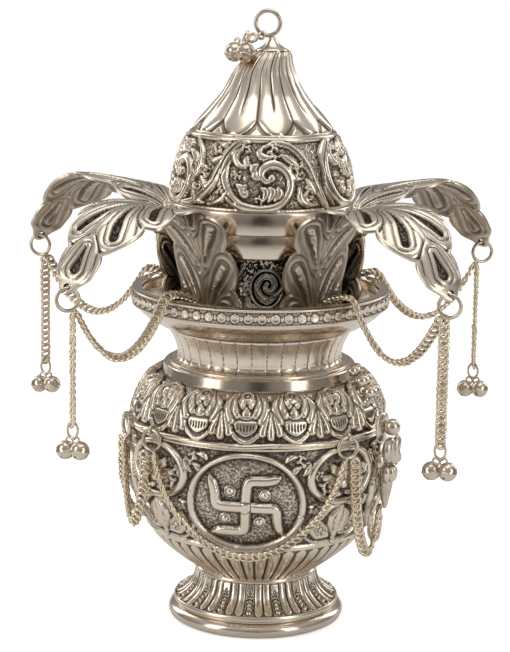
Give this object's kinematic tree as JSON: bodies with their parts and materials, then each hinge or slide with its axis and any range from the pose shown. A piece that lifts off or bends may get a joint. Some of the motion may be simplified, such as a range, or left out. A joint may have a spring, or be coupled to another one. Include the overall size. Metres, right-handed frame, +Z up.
{
  "type": "kalash",
  "caption": "Footed silver ritual water pot with a flared rim, arched mango leaves, a lidded coconut on top, bell tassels, chain swags and garlands.",
  "frame": {"origin": "middle of the underside of the foot, on the surface that the pot stands on", "axes": "+Z up through the coconut's tip, -Y towards the front, +X to the right seen from the front"},
  "size_m": [0.1946, 0.1899, 0.2463],
  "materials": {
    "silver_plate": "antiqued silver over brass, dark in the recesses",
    "oxidised_silver": "chased silver over brass with blackened ground",
    "chain_metal": "pale polished chain",
    "ring_and_bell_metal": "worn bright metal"
  },
  "bodies": {
    "pot": {"foot_rim_wire": "silver_plate", "foot_base_disc": "silver_plate", "foot": "silver_plate", "waist_ring": "silver_plate", "bowl": "silver_plate", "belly_wire": "silver_plate", "collar_ring": "silver_plate", "neck": "silver_plate", "dish": "silver_plate", "rim_band": "silver_plate", "side_bracket": "silver_plate"},
    "leaf_spray": {"leaf_ring": "silver_plate", "leaf_1": "silver_plate", "leaf_2": "silver_plate", "leaf_3": "silver_plate", "leaf_4": "silver_plate", "leaf_5": "silver_plate"},
    "coconut": {"coconut_cup": "oxidised_silver", "coconut_cup_band": "silver_plate"},
    "coconut_lid": {"lid_collar": "silver_plate", "lid_dome": "oxidised_silver", "lid_cone": "silver_plate", "lid_cap": "silver_plate", "finial_ring": "ring_and_bell_metal"},
    "top_bells": {"top_bells": "ring_and_bell_metal"},
    "swing_1": {"tip_ring_1": "ring_and_bell_metal", "swag_chain_1": "chain_metal"},
    "tassel_1": {"tassel_chain_1": "chain_metal"},
    "bells_1": {"tassel_bells_1": "ring_and_bell_metal"},
    "swing_2": {"tip_ring_2": "ring_and_bell_metal", "swag_chain_2": "chain_metal"},
    "tassel_2": {"tassel_chain_2": "chain_metal"},
    "bells_2": {"tassel_bells_2": "ring_and_bell_metal"},
    "swing_3": {"tip_ring_3": "ring_and_bell_metal", "swag_chain_3": "chain_metal"},
    "tassel_3": {"tassel_chain_3": "chain_metal"},
    "bells_3": {"tassel_bells_3": "ring_and_bell_metal"},
    "swing_4": {"tip_ring_4": "ring_and_bell_metal", "swag_chain_4": "chain_metal"},
    "tassel_4": {"tassel_chain_4": "chain_metal"},
    "bells_4": {"tassel_bells_4": "ring_and_bell_metal"},
    "swing_5": {"tip_ring_5": "ring_and_bell_metal", "swag_chain_5": "chain_metal"},
    "tassel_5": {"tassel_chain_5": "chain_metal"},
    "bells_5": {"tassel_bells_5": "ring_and_bell_metal"},
    "ring_left": {"hanger_ring_left": "ring_and_bell_metal"},
    "ring_right": {"hanger_ring_right": "ring_and_bell_metal"},
    "ring_back_right": {"hanger_ring_back_right": "ring_and_bell_metal"},
    "ring_back_left": {"hanger_ring_back_left": "ring_and_bell_metal"},
    "ring_far_left": {"hanger_ring_far_left": "ring_and_bell_metal"},
    "garland_front": {"garland_front": "chain_metal"},
    "garland_left_loop": {"garland_left_loop": "chain_metal"},
    "garland_right_loop": {"garland_right_loop": "chain_metal"},
    "garland_back": {"garland_back": "chain_metal"},
    "garland_back_left": {"garland_back_left": "chain_metal"},
    "garland_back_right": {"garland_back_right": "chain_metal"},
    "side_pendant": {"side_pendant": "silver_plate"}
  },
  "joints": [
    {"name": "leaf_spray_lift", "type": "slide", "parent": "pot", "child": "leaf_spray", "axis": [0, 0, 1], "range_m": [0, 0.035]},
    {"name": "coconut_lift", "type": "slide", "parent": "leaf_spray", "child": "coconut", "axis": [0, 0, 1], "range_m": [0, 0.075]},
    {"name": "lid_lift", "type": "slide", "parent": "coconut", "child": "coconut_lid", "axis": [0, 0, 1], "range_m": [0, 0.02]},
    {"name": "top_bells_swing", "type": "hinge", "parent": "coconut_lid", "child": "top_bells", "pos_m": [-0.0012, 0, 0.2367], "axis": [0, 1, 0], "range_deg": [0, 35]},
    {"name": "swag_swing_1", "type": "hinge", "parent": "leaf_spray", "child": "swing_1", "pos_m": [-0.07042, -0.07552, 0.14857], "axis": [-0.6681, -0.7165, 0.2008], "range_deg": [-15, 15]},
    {"name": "tassel_swing_1", "type": "hinge", "parent": "swing_1", "child": "tassel_1", "pos_m": [-0.07042, -0.07552, 0.13977], "axis": [-0.7314, 0.682, 0], "range_deg": [-10, 25]},
    {"name": "bells_swing_1", "type": "hinge", "parent": "tassel_1", "child": "bells_1", "pos_m": [-0.07042, -0.07552, 0.09322], "axis": [-0.682, -0.7314, 0], "range_deg": [-30, 30]},
    {"name": "swag_swing_2", "type": "hinge", "parent": "leaf_spray", "child": "swing_2", "pos_m": [0.06909, -0.07673, 0.14857], "axis": [0.6555, -0.728, 0.2008], "range_deg": [-15, 15]},
    {"name": "tassel_swing_2", "type": "hinge", "parent": "swing_2", "child": "tassel_2", "pos_m": [0.06909, -0.07673, 0.13977], "axis": [-0.7431, -0.6691, 0], "range_deg": [-10, 25]},
    {"name": "bells_swing_2", "type": "hinge", "parent": "tassel_2", "child": "bells_2", "pos_m": [0.06909, -0.07673, 0.09322], "axis": [0.6691, -0.7431, 0], "range_deg": [-30, 30]},
    {"name": "swag_swing_3", "type": "hinge", "parent": "leaf_spray", "child": "swing_3", "pos_m": [0.0928, 0.04526, 0.14857], "axis": [0.8805, 0.4294, 0.2008], "range_deg": [-15, 15]},
    {"name": "tassel_swing_3", "type": "hinge", "parent": "swing_3", "child": "tassel_3", "pos_m": [0.0928, 0.04526, 0.13977], "axis": [0.4384, -0.8988, 0], "range_deg": [-10, 25]},
    {"name": "bells_swing_3", "type": "hinge", "parent": "tassel_3", "child": "bells_3", "pos_m": [0.0928, 0.04526, 0.09322], "axis": [0.8988, 0.4384, 0], "range_deg": [-30, 30]},
    {"name": "swag_swing_4", "type": "hinge", "parent": "leaf_spray", "child": "swing_4", "pos_m": [0, 0.10325, 0.14857], "axis": [0, 0.9796, 0.2008], "range_deg": [-15, 15]},
    {"name": "tassel_swing_4", "type": "hinge", "parent": "swing_4", "child": "tassel_4", "pos_m": [0, 0.10325, 0.13977], "axis": [1, 0, 0], "range_deg": [-10, 25]},
    {"name": "bells_swing_4", "type": "hinge", "parent": "tassel_4", "child": "bells_4", "pos_m": [0, 0.10325, 0.09322], "axis": [0, 1, 0], "range_deg": [-30, 30]},
    {"name": "swag_swing_5", "type": "hinge", "parent": "leaf_spray", "child": "swing_5", "pos_m": [-0.0928, 0.04526, 0.14857], "axis": [-0.8805, 0.4294, 0.2008], "range_deg": [-15, 15]},
    {"name": "tassel_swing_5", "type": "hinge", "parent": "swing_5", "child": "tassel_5", "pos_m": [-0.0928, 0.04526, 0.13977], "axis": [0.4384, 0.8988, 0], "range_deg": [-10, 25]},
    {"name": "bells_swing_5", "type": "hinge", "parent": "tassel_5", "child": "bells_5", "pos_m": [-0.0928, 0.04526, 0.09322], "axis": [-0.8988, 0.4384, 0], "range_deg": [-30, 30]},
    {"name": "ring_left_swing", "type": "hinge", "parent": "pot", "child": "ring_left", "pos_m": [-0.04144, -0.03478, 0.08534], "axis": [-0.6428, 0.766, 0], "range_deg": [0, 25]},
    {"name": "ring_right_swing", "type": "hinge", "parent": "pot", "child": "ring_right", "pos_m": [0.03478, -0.04144, 0.08534], "axis": [-0.766, -0.6428, 0], "range_deg": [0, 25]},
    {"name": "ring_back_right_swing", "type": "hinge", "parent": "pot", "child": "ring_back_right", "pos_m": [0.04144, 0.03478, 0.08534], "axis": [0.6428, -0.766, 0], "range_deg": [0, 25]},
    {"name": "ring_back_left_swing", "type": "hinge", "parent": "pot", "child": "ring_back_left", "pos_m": [-0.03478, 0.04144, 0.08534], "axis": [0.766, 0.6428, 0], "range_deg": [0, 25]},
    {"name": "ring_far_left_swing", "type": "hinge", "parent": "pot", "child": "ring_far_left", "pos_m": [-0.05271, -0.01217, 0.08534], "axis": [-0.225, 0.9744, 0], "range_deg": [0, 25]},
    {"name": "garland_front_swing", "type": "hinge", "parent": "pot", "child": "garland_front", "pos_m": [-0.04144, -0.03478, 0.08534], "axis": [-0.9962, 0.0872, 0], "range_deg": [0, 45]},
    {"name": "garland_left_loop_swing", "type": "hinge", "parent": "pot", "child": "garland_left_loop", "pos_m": [-0.05271, -0.01217, 0.08534], "axis": [-0.4462, 0.8949, 0], "range_deg": [0, 45]},
    {"name": "garland_right_loop_swing", "type": "hinge", "parent": "pot", "child": "garland_right_loop", "pos_m": [0.03478, -0.04144, 0.08534], "axis": [-0.3193, -0.3813, 0.8676], "range_deg": [0, 45]},
    {"name": "garland_back_swing", "type": "hinge", "parent": "pot", "child": "garland_back", "pos_m": [0.04144, 0.03478, 0.08534], "axis": [0.9962, -0.0872, 0], "range_deg": [0, 45]},
    {"name": "garland_back_left_swing", "type": "hinge", "parent": "pot", "child": "garland_back_left", "pos_m": [-0.03478, 0.04144, 0.08534], "axis": [0.3173, 0.9483, 0], "range_deg": [0, 45]},
    {"name": "garland_back_right_swing", "type": "hinge", "parent": "pot", "child": "garland_back_right", "pos_m": [0.04144, 0.03478, 0.08534], "axis": [0.0841, -0.8659, -0.4932], "range_deg": [0, 45]},
    {"name": "side_pendant_swing", "type": "hinge", "parent": "pot", "child": "side_pendant", "pos_m": [0.04706, -0.02502, 0.0987], "axis": [-0.4695, -0.8829, 0], "range_deg": [0, 25]}
  ]
}
